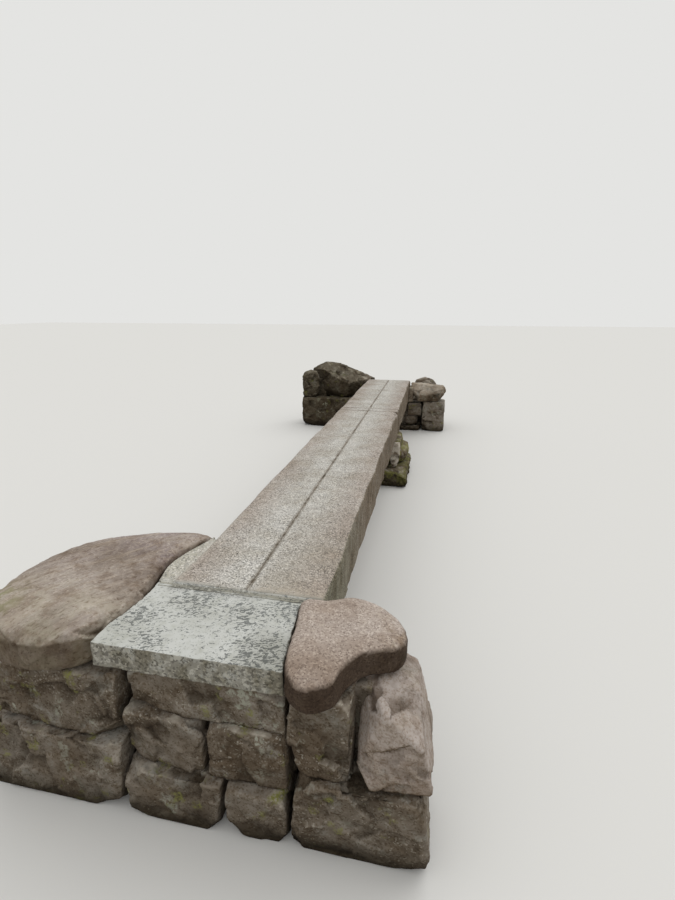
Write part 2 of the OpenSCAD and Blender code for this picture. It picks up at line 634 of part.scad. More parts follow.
near_left_slab();
near_right_slab();
left_closer_stone();
right_closer_stone();
far_left_slab();
far_right_slab();
pier_cap_stone();
pier_left_stone();
pier_right_stone();
pier_wedge_stone();
pier_base_stone();
near_bearing_stone();
near_left_block();
near_right_block();
near_footing_stone();
threshold_slab();
threshold_bed_stone();
threshold_middle_left_stone();
threshold_middle_right_stone();
threshold_footing_stone();
threshold_footing_left_stone();
left_guardian_boulder();
left_mortar_fillet();
left_bank_upper_stone();
left_bank_front_stone();
left_bank_rear_upper_stone();
left_bank_rear_stone();
heart_guardian_stone();
right_edge_stone();
right_bank_upper_stone();
right_bank_lower_stone();
far_bearing_stone();
far_right_squared_block();
far_left_squared_block();
far_right_round_stone();
far_left_round_stone();
far_middle_stone();
far_footing_stone();
far_left_guardian_rock();
far_left_side_rock();
far_left_bank_stone();
far_right_flat_stone();
far_right_bank_stone();
far_right_grey_rock();
far_right_back_stone();
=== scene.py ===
"""Stone slab garden bridge: the finish of its granite slabs, boulder pier, banks and guardian stones."""

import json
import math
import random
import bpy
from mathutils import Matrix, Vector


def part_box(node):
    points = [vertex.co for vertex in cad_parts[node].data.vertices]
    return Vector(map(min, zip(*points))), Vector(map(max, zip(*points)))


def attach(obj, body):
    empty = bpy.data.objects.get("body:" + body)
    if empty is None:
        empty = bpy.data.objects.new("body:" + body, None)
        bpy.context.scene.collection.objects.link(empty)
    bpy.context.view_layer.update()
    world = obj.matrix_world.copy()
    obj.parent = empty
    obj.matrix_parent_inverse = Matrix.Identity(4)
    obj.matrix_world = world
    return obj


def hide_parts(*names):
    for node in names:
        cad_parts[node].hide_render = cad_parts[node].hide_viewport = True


bl_info = {
    "name": "Stone Slab Garden Bridge",
    "version": (1, 0, 0),
    "blender": (4, 5, 0),
    "location": "3D View > Sidebar > Slab Bridge",
    "description": "Builds the weathered stones of a flat two-span garden bridge around its packed frame",
    "category": "Add Mesh",
}

import bmesh
import bpy
from mathutils import Matrix, Vector, noise

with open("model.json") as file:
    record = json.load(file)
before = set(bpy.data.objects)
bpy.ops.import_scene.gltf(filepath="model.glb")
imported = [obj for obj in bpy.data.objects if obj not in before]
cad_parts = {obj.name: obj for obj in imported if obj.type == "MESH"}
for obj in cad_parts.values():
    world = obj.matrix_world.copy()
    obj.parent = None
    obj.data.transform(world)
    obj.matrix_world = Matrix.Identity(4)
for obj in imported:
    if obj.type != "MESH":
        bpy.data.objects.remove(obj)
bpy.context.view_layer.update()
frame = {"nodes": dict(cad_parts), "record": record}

# Places that the frame gives, in metres
NEAR_LOW, NEAR_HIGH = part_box("near_right_slab")
FAR_LOW, FAR_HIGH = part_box("far_right_slab")
THRESHOLD_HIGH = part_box("threshold_slab")[1]
BOULDER_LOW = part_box("left_guardian_boulder")[0]
CLOSER_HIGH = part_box("right_closer_stone")[1]
DECK_TOP = NEAR_HIGH.z
NEAR_END = NEAR_LOW.y
# Where the joints between the slabs that meet end to end lie, on both sides of the pier's middle
CROSS_JOINT = (FAR_LOW.y + CLOSER_HIGH.y) / 2
MILLIMETRE = 0.001

# How deep a stone lies below its CAD outline, as a share of its relief, so that it doesn't bulge into others
SUNK = 0.3
# Height above the ground at which a stone's relief is full, and height below which its bed is made flat
FOOT = 0.03
BED = 0.004
# How fast a hollow fills with dirt as it gets deeper
DIRT_RATE = 1.2
# How far mortar runs out to both sides of the threshold's joint, and how far its height falls there
MORTAR_REACH = 0.045
MORTAR_FALL = 2.6
# Distance between the points of a mortar strip, which is also its relief
MORTAR_STEP = 0.004
# Half the width of the strip at the row joint in which the slabs' faces are dressed straight
STRAIGHT = 0.02
# Place along the deck beyond which the right side gets rough, and how rough the left side is
ROUGH_FROM = -2.6
LEFT_ROUGHNESS = 0.15
# Half widths of the grit in the row joint and the cross joints, and how far it ends short of the deck's edges
ROW_HALF = 0.016
ROW_SHORT = 0.006
CROSS_HALF = 0.011
CROSS_SHORT = 0.02
# Depth of the grit in the row joint
ROW_DEPTH = 0.02


def linear(hex_colour):
    """Linear red, green and blue of an sRGB hex colour such as '#A5A29A'."""
    parts = [int(hex_colour[i : i + 2], 16) / 255 for i in (1, 3, 5)]
    return [p / 12.92 if p <= 0.04045 else ((p + 0.055) / 1.055) ** 2.4 for p in parts]


class DeckSettings(bpy.types.PropertyGroup):
    """Sizes of the dressed granite slabs."""

    mesh_step: bpy.props.FloatProperty(
        name="Mesh step", description="Distance between points on the slabs before flat places are thinned",
        default=0.010, min=0.008, max=0.04, unit="LENGTH")
    side_relief: bpy.props.FloatProperty(
        name="Side relief", description="Depth of the split hollows in the outer sides",
        default=0.012, min=0, max=0.03, unit="LENGTH")
    joint_depth: bpy.props.FloatProperty(
        name="Joint depth", description="Depth at which grit fills the joints between the slabs",
        default=0.002, min=0.001, max=0.05, unit="LENGTH")


class StoneSettings(bpy.types.PropertyGroup):
    """Sizes of the natural stones."""

    fine_step: bpy.props.FloatProperty(
        name="Fine step", description="Distance between points on the stones of the near end",
        default=0.0085, min=0.006, max=0.03, unit="LENGTH")
    plain_step: bpy.props.FloatProperty(
        name="Plain step", description="Distance between points on all other stones",
        default=0.011, min=0.006, max=0.04, unit="LENGTH")
    relief: bpy.props.FloatProperty(
        name="Relief", description="Depth of the hollows and flakes in a natural face",
        default=0.016, min=0, max=0.04, unit="LENGTH")
    kept: bpy.props.FloatProperty(
        name="Kept", description="Share of the mesh that is kept where flat places are thinned",
        default=0.4, min=0.1, max=1, subtype="FACTOR")


class FinishSettings(bpy.types.PropertyGroup):
    """Colours of the stones."""

    granite: bpy.props.FloatVectorProperty(
        name="Granite", description="Walked grey granite of the slabs", subtype="COLOR",
        default=linear("#B9B6AF"), min=0, max=1)
    pink: bpy.props.FloatVectorProperty(
        name="Pink granite", description="Weathered granite of the heart-shaped guardian stone",
        subtype="COLOR", default=linear("#AFA399"), min=0, max=1)
    boulder: bpy.props.FloatVectorProperty(
        name="Boulder", description="Brown-grey stone of the left guardian boulder", subtype="COLOR",
        default=linear("#A59B91"), min=0, max=1)
    cement: bpy.props.FloatVectorProperty(
        name="Cement", description="Pale skin of the threshold slab", subtype="COLOR",
        default=linear("#C3C4BF"), min=0, max=1)
    grit: bpy.props.FloatVectorProperty(
        name="Grit", description="Grit that fills the joints of the deck", subtype="COLOR",
        default=linear("#A29E96"), min=0, max=1)
    bank: bpy.props.FloatVectorProperty(
        name="Bank stone", description="Brown-grey field stone of the banks", subtype="COLOR",
        default=linear("#928B81"), min=0, max=1)
    mauve: bpy.props.FloatVectorProperty(
        name="Mauve stone", description="Smooth stone beside the heart-shaped one", subtype="COLOR",
        default=linear("#D6CFC9"), min=0, max=1)
    field: bpy.props.FloatVectorProperty(
        name="Field stone", description="Pale stone of the pier's wedge and the far right bank",
        subtype="COLOR", default=linear("#B6AEA2"), min=0, max=1)
    pier: bpy.props.FloatVectorProperty(
        name="Pier stone", description="Dark damp stone of the pier", subtype="COLOR",
        default=linear("#8B8374"), min=0, max=1)


class StageSettings(bpy.types.PropertyGroup):
    """Camera and floor."""

    eye: bpy.props.FloatVectorProperty(
        name="Eye", description="Place of the camera", subtype="TRANSLATION",
        default=(0.95, -6.95, DECK_TOP + 1.5))
    heading: bpy.props.FloatProperty(
        name="Heading", description="Turn of the camera to the left of the deck's direction",
        default=math.radians(11.67), subtype="ANGLE")
    pitch: bpy.props.FloatProperty(
        name="Pitch", description="Tilt of the camera below the horizon",
        default=math.radians(17.03), subtype="ANGLE")
    lens: bpy.props.FloatProperty(
        name="Lens", description="Focal length on a sensor whose long side is 36 mm",
        default=18.8, min=10, max=60, unit="CAMERA")
    floor: bpy.props.FloatVectorProperty(
        name="Floor", description="Plain pale floor", subtype="COLOR",
        default=linear("#D6D5D1"), min=0, max=1)


def add(tree, kind, sockets=None, out=0, **settings):
    """Adds a node with its settings, fills its inputs with values or links, and gives one output."""
    node = tree.nodes.new(kind)
    for name, value in settings.items():
        setattr(node, name, value)
    for key, value in (sockets or {}).items():
        if isinstance(value, bpy.types.NodeSocket):
            tree.links.new(value, node.inputs[key])
        else:
            node.inputs[key].default_value = value
    return node.outputs[out]


class Finish:
    """A stone material: its colour under coats of stain, dirt and painted shade, its surface under layers of
    relief.
    """

    def __init__(self, name, base, roughness):
        material = bpy.data.materials.new(name + "_finish")
        material.use_nodes = True
        self.tree = material.node_tree
        self.shader = self.tree.nodes["Principled BSDF"]
        self.shader.inputs["Roughness"].default_value = roughness
        # Broken crystal faces scatter nearly all light, so weathered stone has far less gloss than glass
        self.shader.inputs["Specular IOR Level"].default_value = 0.15
        self.colour = (*base, 1)
        self.normal = None
        self.place = add(self.tree, "ShaderNodeTexCoord", out="Object")
        self.x, self.y, self.z = (
            add(self.tree, "ShaderNodeSeparateXYZ", {0: self.place}, axis) for axis in range(3))
        facing = add(self.tree, "ShaderNodeNewGeometry", out="Normal")
        self.up = add(self.tree, "ShaderNodeSeparateXYZ", {0: facing}, 2)
        self.aside = add(self.tree, "ShaderNodeMath", {0: self.x}, operation="ABSOLUTE")
        self.hollow = add(self.tree, "ShaderNodeAttribute", attribute_name="hollow", out="Fac")
        self.tone = add(self.tree, "ShaderNodeAttribute", attribute_name="tone", out="Fac")

    def pattern(self, texture, size, turn=0, out=0, **sockets):
        """A texture whose features are size millimetres along X, Y and Z, after a turn about Z."""
        lengths = size if isinstance(size, tuple) else (size, size, size)
        scale = [length * MILLIMETRE for length in lengths]
        counted = add(self.tree, "ShaderNodeMapping",
                      {"Vector": self.place, "Rotation": (0, 0, turn), "Scale": scale}, vector_type="TEXTURE")
        return add(self.tree, texture, {"Vector": counted, "Scale": 1, **sockets}, out)

    def grains(self, size, turn=0):
        """A value from 0 to 1 that differs from one mineral grain to the next."""
        cells = self.pattern("ShaderNodeTexVoronoi", size, turn, out="Color")
        return add(self.tree, "ShaderNodeSeparateColor", {0: cells}, "Red")

    def cloud(self, size, turn=0, detail=5, roughness=0.6, bent=0):
        """Noise about 0.5 whose patches are about that size."""
        return self.pattern(
            "ShaderNodeTexNoise", size, turn, Detail=detail, Roughness=roughness, Distortion=bent)

    def ragged(self, size):
        """A cloud whose patches have ragged edges."""
        return self.cloud(size, detail=8, roughness=0.7)

    def coat(self, blend, colour, *masks):
        """Lays a coat of colour. A mask is a value with the levels that leave the coat clear and full."""
        amount = 1
        for value, clear, full in masks:
            amount = add(self.tree, "ShaderNodeMapRange", {0: value, 1: clear, 2: full, 4: amount})
        self.colour = add(self.tree, "ShaderNodeMix", {0: amount, 6: self.colour, 7: (*linear(colour), 1)}, 2,
                          data_type="RGBA", blend_type=blend)
        self.tree.links.new(self.colour, self.shader.inputs["Base Color"])

    def raised(self, height, depth, strength):
        """Raises the surface by a height, which is that many millimetres at 1."""
        sockets = {"Height": height, "Distance": depth * MILLIMETRE, "Strength": strength}
        if self.normal:
            sockets["Normal"] = self.normal
        self.normal = add(self.tree, "ShaderNodeBump", sockets)
        self.tree.links.new(self.normal, self.shader.inputs["Normal"])


def dressed_granite(finish):
    """Bush-hammered biotite granite of the slabs."""
    stone = Finish("dressed_granite", finish.granite, 0.9)
    top = (stone.up, 0.5, 0.8)
    side = (stone.up, 0.8, 0.5)
    # Cream feldspar, grey quartz and dark mica grains
    grain = stone.grains(7)
    stone.coat("MIX", "#D9D6CE", (grain, 0.76, 0.84))
    stone.coat("MIX", "#94918B", (grain, 0.28, 0.20))
    stone.coat("MIX", "#666460", (stone.grains(6), 0.14, 0.08), (stone.cloud(220), 0.36, 0.58))
    stone.coat("MULTIPLY", "#EBE8E3", (stone.cloud(260), 0.42, 0.66))
    stone.coat("MULTIPLY", "#EDEBE7", (stone.cloud(45), 0.5, 0.72))
    # Feet keep it pale along the middle of the deck, and rain and iron stain it towards the outer edges
    stone.coat("MULTIPLY", "#E2D9D4", top, (stone.aside, 0.14, 0.38), (stone.cloud(420), 0.10, 0.52))
    stone.coat("MULTIPLY", "#E6E2DD", top, (stone.cloud((1500, 75, 1500)), 0.5, 0.66), (stone.y, -0.6, 1.2),
               (stone.x, 0.02, -0.02))
    # Dust blown from the path on the right slab's near end, and dirt along the joints
    stone.coat("MIX", "#BAB2A4", top, (stone.x, 0, 0.08), (stone.y, NEAR_END + 0.14, NEAR_END + 0.02),
               (stone.cloud(90), 0.34, 0.60), (stone.cloud(12, detail=2), 0.34, 0.56))
    stone.coat("MULTIPLY", "#CFCAC2", top, (stone.aside, 0.024, 0.007), (stone.cloud(60), 0.30, 0.50))
    # Mortar smeared on the left slab's edge and over the ends of both, which the path wears
    stone.coat("MIX", "#B1ACA0", (stone.up, 0.3, 0.6), (stone.x, -0.395, -0.445),
               (stone.y, NEAR_END + 1.0, NEAR_END + 0.6), (stone.cloud(60), 0.36, 0.52))
    stone.coat("MIX", "#A8A59C", (stone.y, NEAR_END + 0.030, NEAR_END + 0.008), (stone.cloud(50), 0.34, 0.54))
    stone.coat("MULTIPLY", "#EEEBE7", top, (stone.x, 0, 0.08), (stone.y, -3.4, -4.4))
    along = add(stone.tree, "ShaderNodeMath", {0: stone.y}, operation="ABSOLUTE")
    beyond = add(stone.tree, "ShaderNodeMath", {0: along, 1: CROSS_JOINT}, operation="SUBTRACT")
    from_joint = add(stone.tree, "ShaderNodeMath", {0: beyond}, operation="ABSOLUTE")
    stone.coat("MULTIPLY", "#B5A8A0", top, (from_joint, 0.016, 0.007))
    # The sides are split, streaked by rain, and greenish near the bank
    # Painted shade: the sides darker than the top, all but the ends that meet the threshold
    stone.coat("MULTIPLY", "#CFC8BF", side, (stone.y, NEAR_END + 0.004, NEAR_END + 0.012))
    # Painted shade: the sides darker still over the pond, where they face the dark water
    stone.coat("MULTIPLY", "#D0C7BD", side, (stone.y, -4.4, -3.2))
    stone.coat("MULTIPLY", "#DAD5CE", side, (stone.ragged((110, 110, 420)), 0.44, 0.60))
    stone.coat("MIX", "#A9A89F", side, (stone.ragged((55, 55, 260)), 0.56, 0.68),
               (stone.cloud(500), 0.42, 0.60))
    stone.coat("MULTIPLY", "#DADFD4", side, (stone.aside, 0.42, 0.44), (stone.y, -3.4, -4.6))
    stone.coat("MULTIPLY", "#C2BBB1", (stone.hollow, 0, 1))
    stone.raised(stone.cloud(14, detail=3), 4.0, 0.5)
    stone.raised(grain, 0.8, 0.3)


# Where feet have worn the threshold's cement skin through: height of all patches, middle and radius of each
WORN_HEIGHT = 0.99
WORN_PATCHES = [((-0.22, -4.97), 0.22), ((0.06, -5.03), 0.16), ((0.24, -5.30), 0.24),
                ((0.30, -4.95), 0.18), ((-0.46, -5.16), 0.16), ((-0.30, -5.32), 0.13)]


def pale_cement(finish):
    """Worn cement skin of the threshold, cast over dark grit."""
    stone = Finish("pale_cement", finish.cement, 0.85)
    stone.coat("MULTIPLY", "#F0F0ED", (stone.cloud(300), 0.35, 0.7))
    stone.coat("MULTIPLY", "#EEEEEA", (stone.cloud(35), 0.45, 0.7))
    # The mortar beside the slabs is creamier
    beside = (stone.y, NEAR_END - 0.03, NEAR_END + 0.06)
    stone.coat("MULTIPLY", "#F0EAE0", beside)
    stone.coat("MIX", "#B3AEA4", beside, (stone.x, -0.50, -0.455), (stone.cloud(40), 0.36, 0.54))
    speck = stone.grains(8)
    stone.coat("MIX", "#85827A", beside, (speck, 0.15, 0.08))
    stone.coat("MIX", "#CFCBC1", beside, (speck, 0.78, 0.88))
    # A broad soft band of grey pitted mortar where the threshold meets the slabs, with painted soft shadow
    joint = ((stone.y, NEAR_END + 0.03, NEAR_END + 0.01), (stone.x, -0.46, -0.42))
    band = (*joint, (stone.y, NEAR_END - 0.085, NEAR_END - 0.045), (stone.x, 0.16, 0.0))
    stone.coat("MIX", "#ACABA4", *joint, (stone.y, NEAR_END - 0.04, NEAR_END - 0.015),
               (stone.cloud(40), 0.30, 0.50))
    stone.coat("MIX", "#A4A49F", *band, (stone.cloud(55, bent=0.5), 0.34, 0.54))
    stone.coat("MIX", "#888884", *band, (stone.cloud(16, detail=2), 0.52, 0.60))
    stone.coat("MIX", "#C3C4BF", *band, (stone.cloud(18, 1.1, detail=2), 0.56, 0.64))
    # Where the skin has worn through, dark grit shows in short curls side by side
    curls = stone.cloud((21, 12, 12), 0.35, detail=2, bent=0.8)
    for middle, radius in WORN_PATCHES:
        away = add(stone.tree, "ShaderNodeVectorMath", {0: stone.place, 1: (*middle, WORN_HEIGHT)}, "Value",
                   operation="DISTANCE")
        worn = add(stone.tree, "ShaderNodeMapRange", {0: away, 1: radius, 2: 0.3 * radius, 3: 0, 4: 0.125})
        curls = add(stone.tree, "ShaderNodeMath", {0: curls, 1: worn}, operation="ADD")
    stone.coat("MIX", "#767875", (curls, 0.612, 0.650))
    stone.coat("MIX", "#979893", (stone.cloud((11, 8, 8), 0.35, detail=1), 0.66, 0.69))
    stone.coat("MULTIPLY", "#DDDCD8", (stone.x, 0.10, 0.26), (stone.y, -5.08, -5.2))
    # The sides show the concrete's own pebbles and sand under dirt from the path
    side = (stone.up, 0.85, 0.5)
    pebble = stone.grains(11)
    stone.coat("MIX", "#8F8C82", side, (stone.cloud(60), 0.25, 0.5))
    stone.coat("MIX", "#ABA89D", side, (pebble, 0.72, 0.80))
    stone.coat("MIX", "#716E66", side, (pebble, 0.24, 0.16))
    stone.coat("MULTIPLY", "#C9C5BB", side, (stone.cloud((90, 90, 200), detail=8), 0.42, 0.58))
    stone.coat("MULTIPLY", "#D5D2C9", (stone.hollow, 0, 1))
    stone.raised(stone.cloud(12, detail=3), 1.6, 0.4)
    stone.raised(curls, -3.0, 0.5)
    stone.raised(pebble, 1.5, 0.4)


def joint_grit(finish):
    """Grit, washed into the deck's joints, with a crack down the middle."""
    stone = Finish("joint_grit", finish.grit, 0.95)
    grain = stone.grains(5)
    stone.coat("MIX", "#C2BEB5", (grain, 0.75, 0.85))
    stone.coat("MIX", "#827E77", (grain, 0.30, 0.16))
    stone.coat("MULTIPLY", "#DCD5CD", (stone.cloud(200), 0.4, 0.6))
    # The crack wanders a few millimetres to both sides, and is broader where grit has sunk
    wander = stone.cloud(110, detail=4)
    row = add(stone.tree, "ShaderNodeMath", {0: wander, 1: 0.016, 2: stone.x}, operation="MULTIPLY_ADD")
    crack = add(stone.tree, "ShaderNodeMath", {0: row, 1: 0.008, 2: 0.0035}, operation="COMPARE")
    stone.coat("MULTIPLY", "#CBC7C1", (crack, 0, 1))
    stone.coat("MULTIPLY", "#C2BDB6", (stone.aside, 0.012, 0.006), (stone.cloud(70), 0.52, 0.60))
    stone.coat("MULTIPLY", "#B5AAA2", (stone.aside, 0.012, 0.03))
    stone.coat("MULTIPLY", "#A39D93", (stone.hollow, 0, 1))
    stone.raised(grain, 1.5, 0.5)


def pink_granite(finish):
    """Coarse weathered granite of the heart-shaped guardian stone."""
    stone = Finish("pink_granite", finish.pink, 0.9)
    # Big pinkish feldspar and cream grains that stand out of the face
    grain = stone.grains(8)
    stone.coat("MIX", "#C4B9AE", (grain, 0.74, 0.86))
    stone.coat("MIX", "#9C9087", (grain, 0.26, 0.14))
    stone.coat("MIX", "#8B7F76", (stone.grains(6), 0.12, 0.06))
    stone.coat("MULTIPLY", "#E8E2DC", (stone.cloud(180), 0.42, 0.7))
    stone.coat("MIX", "#BCB0A1", (stone.cloud(60), 0.60, 0.72))
    # Dirt and moss at its right end
    stone.coat("MULTIPLY", "#D2CABF", (stone.x, 0.72, 0.84), (stone.cloud(70), 0.4, 0.6))
    stone.coat("MIX", "#77745A", (stone.x, 0.80, 0.87), (stone.cloud(45), 0.58, 0.68))
    # Painted shade: its steep sides darker than its top
    stone.coat("MULTIPLY", "#7B7269", (stone.up, 0.85, 0.25))
    stone.coat("MULTIPLY", "#DDD6CF", (stone.y, -5.10, -5.34), (stone.cloud(200), 0.2, 0.5))
    stone.coat("MULTIPLY", "#B5ABA1", (stone.hollow, 0, 1))
    stone.raised(stone.cloud(16, detail=3), 5.0, 0.5)
    stone.raised(grain, 1.4, 0.4)


def streaked_boulder(finish):
    """Water-worn banded stone of the left guardian boulder."""
    stone = Finish("streaked_boulder", finish.boulder, 0.88)
    along = math.radians(BAND_ANGLE)
    # Mauve and buff bands run along its length, mauve at the back and bleached at the near edge
    streak = stone.cloud((650, 60, 120), along, detail=7, roughness=0.66)
    fine = stone.cloud((260, 16, 40), along, detail=4)
    stone.coat("MIX", "#92877F", (streak, 0.44, 0.70))
    stone.coat("MIX", "#8D8180", (stone.y, BOULDER_LOW.y + 0.45, BOULDER_LOW.y + 1.0),
               (stone.cloud(260), 0.40, 0.62))
    stone.coat("MIX", "#ADA194", (stone.cloud((300, 60, 90), along, detail=7, roughness=0.7), 0.50, 0.66))
    stone.coat("MIX", "#B4AE9E", (stone.y, BOULDER_LOW.y + 0.50, BOULDER_LOW.y + 0.10),
               (stone.cloud(150), 0.38, 0.6))
    stone.coat("MULTIPLY", "#E8E3DE", (fine, 0.46, 0.34))
    stone.coat("MIX", "#B9AEA2", (stone.cloud(14, detail=4, roughness=0.7), 0.52, 0.66))
    stone.coat("MULTIPLY", "#CFC8C0", (stone.cloud((26, 11, 14), along, detail=3), 0.44, 0.32))
    stone.coat("MULTIPLY", "#DDD6CF", (stone.ragged(90), 0.48, 0.62))
    stone.coat("MULTIPLY", "#E6E1DB", (stone.cloud(320), 0.45, 0.7))
    # Algae at the left front corner, and the steep sides darker than the top
    stone.coat("MIX", "#8A8A68", (stone.x, BOULDER_LOW.x + 0.34, BOULDER_LOW.x + 0.12),
               (stone.y, BOULDER_LOW.y + 0.42, BOULDER_LOW.y + 0.2), (stone.cloud(90), 0.50, 0.64))
    stone.coat("MULTIPLY", "#ADA69D", (stone.up, 0.7, 0.15))
    stone.coat("MULTIPLY", "#AFA69C", (stone.hollow, 0, 1))
    stone.raised(streak, 3.5, 0.5)
    stone.raised(fine, 1.0, 0.5)
    stone.raised(stone.cloud(14, detail=4), 3.0, 0.5)


def field_stone(name, base, moss, lichen, damp):
    """Rough natural stone with lichen on top, dirt in its hollows and moss near the water."""
    stone = Finish(name, base, 0.92)
    sky = (stone.up, 0.35, 0.85)
    # Each stone is a little paler or browner than the next
    stone.coat("MULTIPLY", "#D2CAC0", (stone.tone, 0, 1))
    stone.coat("MULTIPLY", "#D3CABF", (stone.cloud(320), 0.42, 0.60))
    stone.coat("MIX", "#8F8B82", (stone.ragged(170), 0.54, 0.64))
    stone.coat("MULTIPLY", "#DAD4CB", (stone.cloud(60, detail=7, roughness=0.7), 0.48, 0.62))
    # Coarse grains and pits
    grain = stone.grains(8)
    stone.coat("MULTIPLY", "#D8D2CA", (grain, 0.26, 0.14))
    stone.coat("MIX", "#9A9387", (grain, 0.86, 0.98), (stone.cloud(240), 0.42, 0.60))
    # Pale weathered skin and grey-green lichen on the faces that see the sky
    stone.coat("MIX", "#B0A89A", sky, (stone.cloud(120, detail=7), 0.50, 0.66))
    stone.coat("MIX", "#A4A597", (stone.cloud(110, detail=3), 0.58, 0.62),
               (stone.cloud(22, detail=4), 0.44, 0.54),
               (stone.cloud(900), 0.7 - 0.3 * lichen, 0.8 - 0.3 * lichen))
    # Painted shade under overhangs, dirt in hollows, moss in damp places, and a dark wet foot
    stone.coat("MULTIPLY", "#ADA59A", (stone.up, 0.3, -0.4))
    stone.coat("MULTIPLY", "#8E867B", (stone.hollow, 0, 1))
    stone.coat("MIX", "#7A7944", (stone.cloud(130, detail=7), 0.66 - 0.16 * moss, 0.76 - 0.16 * moss),
               (stone.cloud(16), 0.35, 0.55))
    stone.coat("MULTIPLY", "#8A8577", (stone.z, damp, 0.03))
    stone.raised(stone.cloud(50, detail=8, roughness=0.65), 14.0, 0.6)
    stone.raised(stone.cloud(9, detail=3), 2.5, 0.6)
    return stone


def merged_copy(node):
    """A bmesh of a CAD node's own shape, with its loose triangles joined."""
    bm = bmesh.new()
    bm.from_mesh(frame["nodes"][node].data)
    bmesh.ops.remove_doubles(bm, verts=bm.verts, dist=0.2 * MILLIMETRE)
    return bm


def mesh_from(bm):
    """A new mesh that holds a bmesh, which is freed."""
    mesh = bpy.data.meshes.new("stone")
    bm.to_mesh(mesh)
    bm.free()
    return mesh


def modified(mesh, kind, **settings):
    """A new mesh made from one by a modifier."""
    blank = bpy.data.objects.new("blank", mesh)
    bpy.context.scene.collection.objects.link(blank)
    modifier = blank.modifiers.new("change", kind)
    for name, value in settings.items():
        setattr(modifier, name, value)
    changed = bpy.data.meshes.new_from_object(blank.evaluated_get(bpy.context.evaluated_depsgraph_get()))
    bpy.data.objects.remove(blank)
    bpy.data.meshes.remove(mesh)
    return changed


def smoothed(mesh, passes):
    """Rounds the edges of a mesh by a few passes of smoothing."""
    bm = bmesh.new()
    bm.from_mesh(mesh)
    for _ in range(passes):
        bmesh.ops.smooth_vert(
            bm, verts=bm.verts, factor=0.5, use_axis_x=True, use_axis_y=True, use_axis_z=True)
    bm.to_mesh(mesh)
    bm.free()


def ramp(value, start, length):
    """A share that grows from 0 to 1 over a length beyond a start."""
    return min(max((value - start) / length, 0), 1)


def weathered(mesh, low_z, high_z, seed, relief, face, sunk, sideways=1):
    """Moves each point of a stone along its normal by what its face gives, and notes how hollow it is."""
    reach = Matrix.Diagonal((relief * sideways, relief * sideways, relief))
    chance = random.Random(seed)
    # Vector noise starts from the clock unless it has a seed of its own, which may not be 0
    noise.seed_set(seed + 1)
    shift = Vector(chance.uniform(-50, 50) for _ in range(3))
    tone = chance.random()
    tones = mesh.attributes.new("tone", "FLOAT", "POINT").data
    hollows = mesh.attributes.new("hollow", "FLOAT", "POINT").data
    normals = [normal.vector.copy() for normal in mesh.vertex_normals]
    for vertex, normal, tone_here, hollow in zip(mesh.vertices, normals, tones, hollows):
        # A stone's foot keeps its outline where it stands in the ground
        height = face(vertex.co, vertex.co + shift, normal) * ramp(vertex.co.z, 0, FOOT)
        tone_here.value = tone
        hollow.value = min(max(-DIRT_RATE * height, 0), 1)
        moved = vertex.co + reach @ normal * (height - sunk)
        moved.z = min(max(moved.z, low_z), high_z)
        # Its bed lies flat on what carries it
        if moved.z < low_z + BED:
            moved.z = low_z
        vertex.co = moved


def waves(place, size, octaves=3):
    """Layered noise between about -1 and 1 whose broadest waves are size metres long."""
    return noise.fractal(place / size, 1.0, 2.0, octaves)


def plates(place, size):
    """Height between about -1 and 1 of leaning plates that split off at different depths."""
    bent = (place + 0.2 * size * noise.noise_vector(place / size / 0.6)) / size
    middle = noise.voronoi(bent)[1][0]
    return 2 * noise.noise_vector(middle * 5.3).dot(bent - middle) + 0.4 * noise.noise(middle * 3.7)


def sloped_face(co, place, normal):
    """Height of mortar that runs out to both sides of the line where the threshold meets the slabs."""
    return worn_face(co, place, normal) - MORTAR_FALL * min(abs(co.y - NEAR_END) / MORTAR_REACH, 1)


def split_face(co, place, normal):
    """Height of a face that was split from a block: big leaning plates, small flakes and rough between."""
    return plates(place, 0.21) + 0.35 * plates(place + Vector((7, 3, 5)), 0.08) + 0.25 * waves(place, 0.25) \
        + 0.12 * waves(place, 0.03)


def worn_face(co, place, normal):
    """Height of a face that water has worn: swells and low dimples."""
    return 0.6 * waves(place, 0.3) + 0.25 * waves(place, 0.07) + 0.25 * plates(place, 0.2)


def heart_face(co, place, normal):
    """Height of the heart-shaped stone: nearly flat on top, and a little uneven down its sides."""
    steep = 1 - abs(normal.z)
    return 0.35 * waves(place, 0.3) + 0.16 * waves(place, 0.045) + 0.3 * steep * plates(place, 0.12)


# Direction of the left boulder's bands, in degrees from X
BAND_ANGLE = 56
ACROSS_BANDS = Matrix.Diagonal((0.25, 1, 1)) @ Matrix.Rotation(math.radians(-BAND_ANGLE), 3, "Z")


def banded_face(co, place, normal):
    """Height of the left boulder: broad swells, low ridges and steps along its bands, uneven outline."""
    banded = ACROSS_BANDS @ place
    edge = 1 - normal.z * normal.z
    return 0.7 * waves(place, 0.4, 2) + 0.1 * waves(banded, 0.075) + 0.2 * plates(banded, 0.16) \
        + 0.14 * waves(place, 0.05) + 0.6 * edge * plates(place, 0.22)


def cast_face(co, place, normal):
    """Height of the threshold: level on top, pitted on its sides, and chipped along the arrises."""
    level = normal.z * normal.z
    chip = max(0, waves(place, 0.07, 4) - 0.1)
    return 0.3 * waves(place, 0.2) + (1 - level) * (waves(place, 0.06) + 0.6 * plates(place, 0.05)) \
        - 8 * level * (1 - level) * chip


